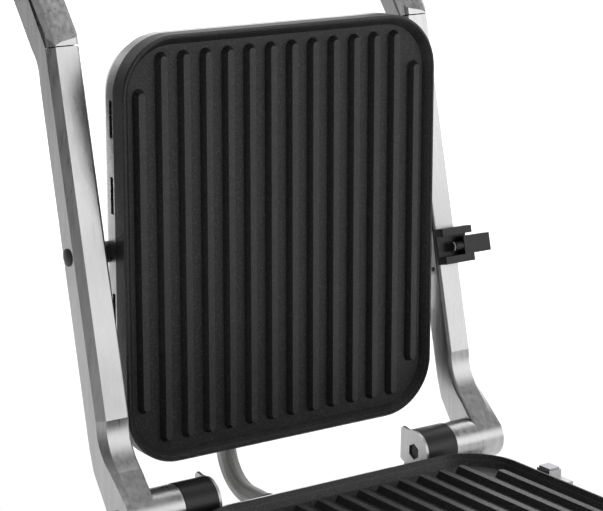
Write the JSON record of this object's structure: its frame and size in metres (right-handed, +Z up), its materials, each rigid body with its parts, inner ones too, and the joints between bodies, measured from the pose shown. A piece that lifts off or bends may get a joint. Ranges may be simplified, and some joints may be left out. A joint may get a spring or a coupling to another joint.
{
  "type": "panini press",
  "caption": "Counter-top contact grill for pressing sandwiches: ribbed heated plates, a lid on two hinged arms with a cross handle, dials and a drip tray.",
  "frame": {"origin": "middle of the underside of the foot at the centre of the base, on the table", "axes": "+Z up, +X along the hinge to the side with the height clip, +Y towards the hinge and the back, controls at -Y"},
  "size_m": [0.335, 0.5234, 0.4603],
  "materials": {
    "plate_coating": "black non-stick coating, fine texture",
    "arm_metal": "silver painted casting, satin",
    "housing_steel": "brushed",
    "inner_steel": "plain",
    "pin_steel": "turned",
    "bearing_brass": "turned",
    "black_plastic": "matt black",
    "panel_black": "gloss black",
    "hinge_grey": "grey paint, satin",
    "hinge_black": "matt black paint",
    "element_steel": "dull, heated",
    "reflector_metal": "bright",
    "rubber_black": "matt",
    "braid_grey": "braided sleeve",
    "lamp_red": "clear red",
    "board_green": "circuit board",
    "ceramic_white": "white"
  },
  "bodies": {
    "base": {"base_pan": "inner_steel", "base_shell": "housing_steel", "control_panel": "panel_black", "control_board": "board_green", "indicator_lamps": "lamp_red", "thermostat_body": "inner_steel", "timer_body": "inner_steel", "power_switch": "black_plastic", "lower_plate": "plate_coating", "lower_element": "element_steel", "lower_reflector": "reflector_metal", "thermal_fuse": "ceramic_white", "terminal_block": "ceramic_white", "arm_rest": "arm_metal", "arm_rest_pad": "inner_steel", "hinge_bracket_right": "hinge_black", "hinge_bracket_left": "hinge_black", "hinge_cap_right": "hinge_grey", "hinge_cap_left": "hinge_grey", "hinge_pin_right": "pin_steel", "hinge_pin_left": "pin_steel", "rubber_feet": "rubber_black", "base_screws": "pin_steel", "conduit_gland_base": "black_plastic", "mains_gland": "black_plastic", "conduit": "braid_grey"},
    "lid_arms": {"arm_right": "arm_metal", "arm_left": "arm_metal", "handle_pad_right": "arm_metal", "handle_pad_left": "arm_metal", "handle_bar": "inner_steel", "handle_grip": "black_plastic", "handle_ferrules": "arm_metal", "pivot_caps": "black_plastic", "hinge_plugs": "black_plastic", "hinge_bush_right": "bearing_brass", "hinge_bush_left": "bearing_brass", "pivot_pin_right": "pin_steel", "pivot_pin_left": "pin_steel"},
    "lid_head": {"upper_plate": "plate_coating", "lid_cover": "housing_steel", "lid_carrier": "inner_steel", "upper_element": "element_steel", "lid_thermostat": "ceramic_white", "pivot_bush_right": "black_plastic", "pivot_bush_left": "black_plastic", "conduit_hood": "black_plastic", "cover_screws": "pin_steel"},
    "height_clip": {"clip_carriage": "black_plastic", "clip_spring": "pin_steel"},
    "clip_button": {"clip_tab": "black_plastic"},
    "thermostat_dial": {"thermostat_knob": "black_plastic", "thermostat_shaft": "pin_steel"},
    "timer_dial": {"timer_knob": "black_plastic", "timer_shaft": "pin_steel"},
    "power_key": {"power_button": "black_plastic"},
    "tray": {"drip_tray": "black_plastic"},
    "lower_latch": {"plate_latch": "black_plastic"},
    "upper_latch": {"lid_latch": "black_plastic"}
  },
  "joints": [
    {"name": "lid_hinge", "type": "hinge", "parent": "base", "child": "lid_arms", "pos_m": [0, 0.169, 0.0816], "axis": [1, 0, 0], "range_deg": [-40, 99.98], "deforming": ["conduit"]},
    {"name": "plate_tilt", "type": "hinge", "parent": "lid_arms", "child": "lid_head", "pos_m": [0, 0.229, 0.246], "axis": [1, 0, 0], "range_deg": [-10.1, 4.1]},
    {"name": "clip_slide", "type": "slide", "parent": "lid_arms", "child": "height_clip", "axis": [0, 0.2275, 0.9738], "range_m": [-0.022, 0]},
    {"name": "clip_press", "type": "slide", "parent": "height_clip", "child": "clip_button", "axis": [-1, 0, 0], "range_m": [0, 0.003], "stiffness_N_per_m": 600, "springref_m": -0.002, "deforming": ["clip_spring"]},
    {"name": "thermostat_turn", "type": "hinge", "parent": "base", "child": "thermostat_dial", "pos_m": [0.092, -0.18018, 0.04373], "axis": [0, -0.9703, 0.2419], "range_deg": [0, 270]},
    {"name": "timer_turn", "type": "hinge", "parent": "base", "child": "timer_dial", "pos_m": [-0.092, -0.18018, 0.04373], "axis": [0, -0.9703, 0.2419], "range_deg": [0, 300]},
    {"name": "power_press", "type": "slide", "parent": "base", "child": "power_key", "axis": [0, 0.9703, -0.2419], "range_m": [0, 0.002], "stiffness_N_per_m": 800, "springref_m": -0.001},
    {"name": "drip_slide", "type": "slide", "parent": "base", "child": "tray", "axis": [0, -1, 0], "range_m": [0, 0.15]},
    {"name": "lower_latch_slide", "type": "slide", "parent": "base", "child": "lower_latch", "axis": [0, -1, 0], "range_m": [0, 0.003], "stiffness_N_per_m": 800, "springref_m": -0.002},
    {"name": "upper_latch_slide", "type": "slide", "parent": "lid_head", "child": "upper_latch", "axis": [0, 0, -1], "range_m": [0, 0.003], "stiffness_N_per_m": 800, "springref_m": -0.002}
  ],
  "couplings": [
    {"joint": "plate_tilt", "follows": "lid_hinge", "ratio": -0.099823}
  ]
}
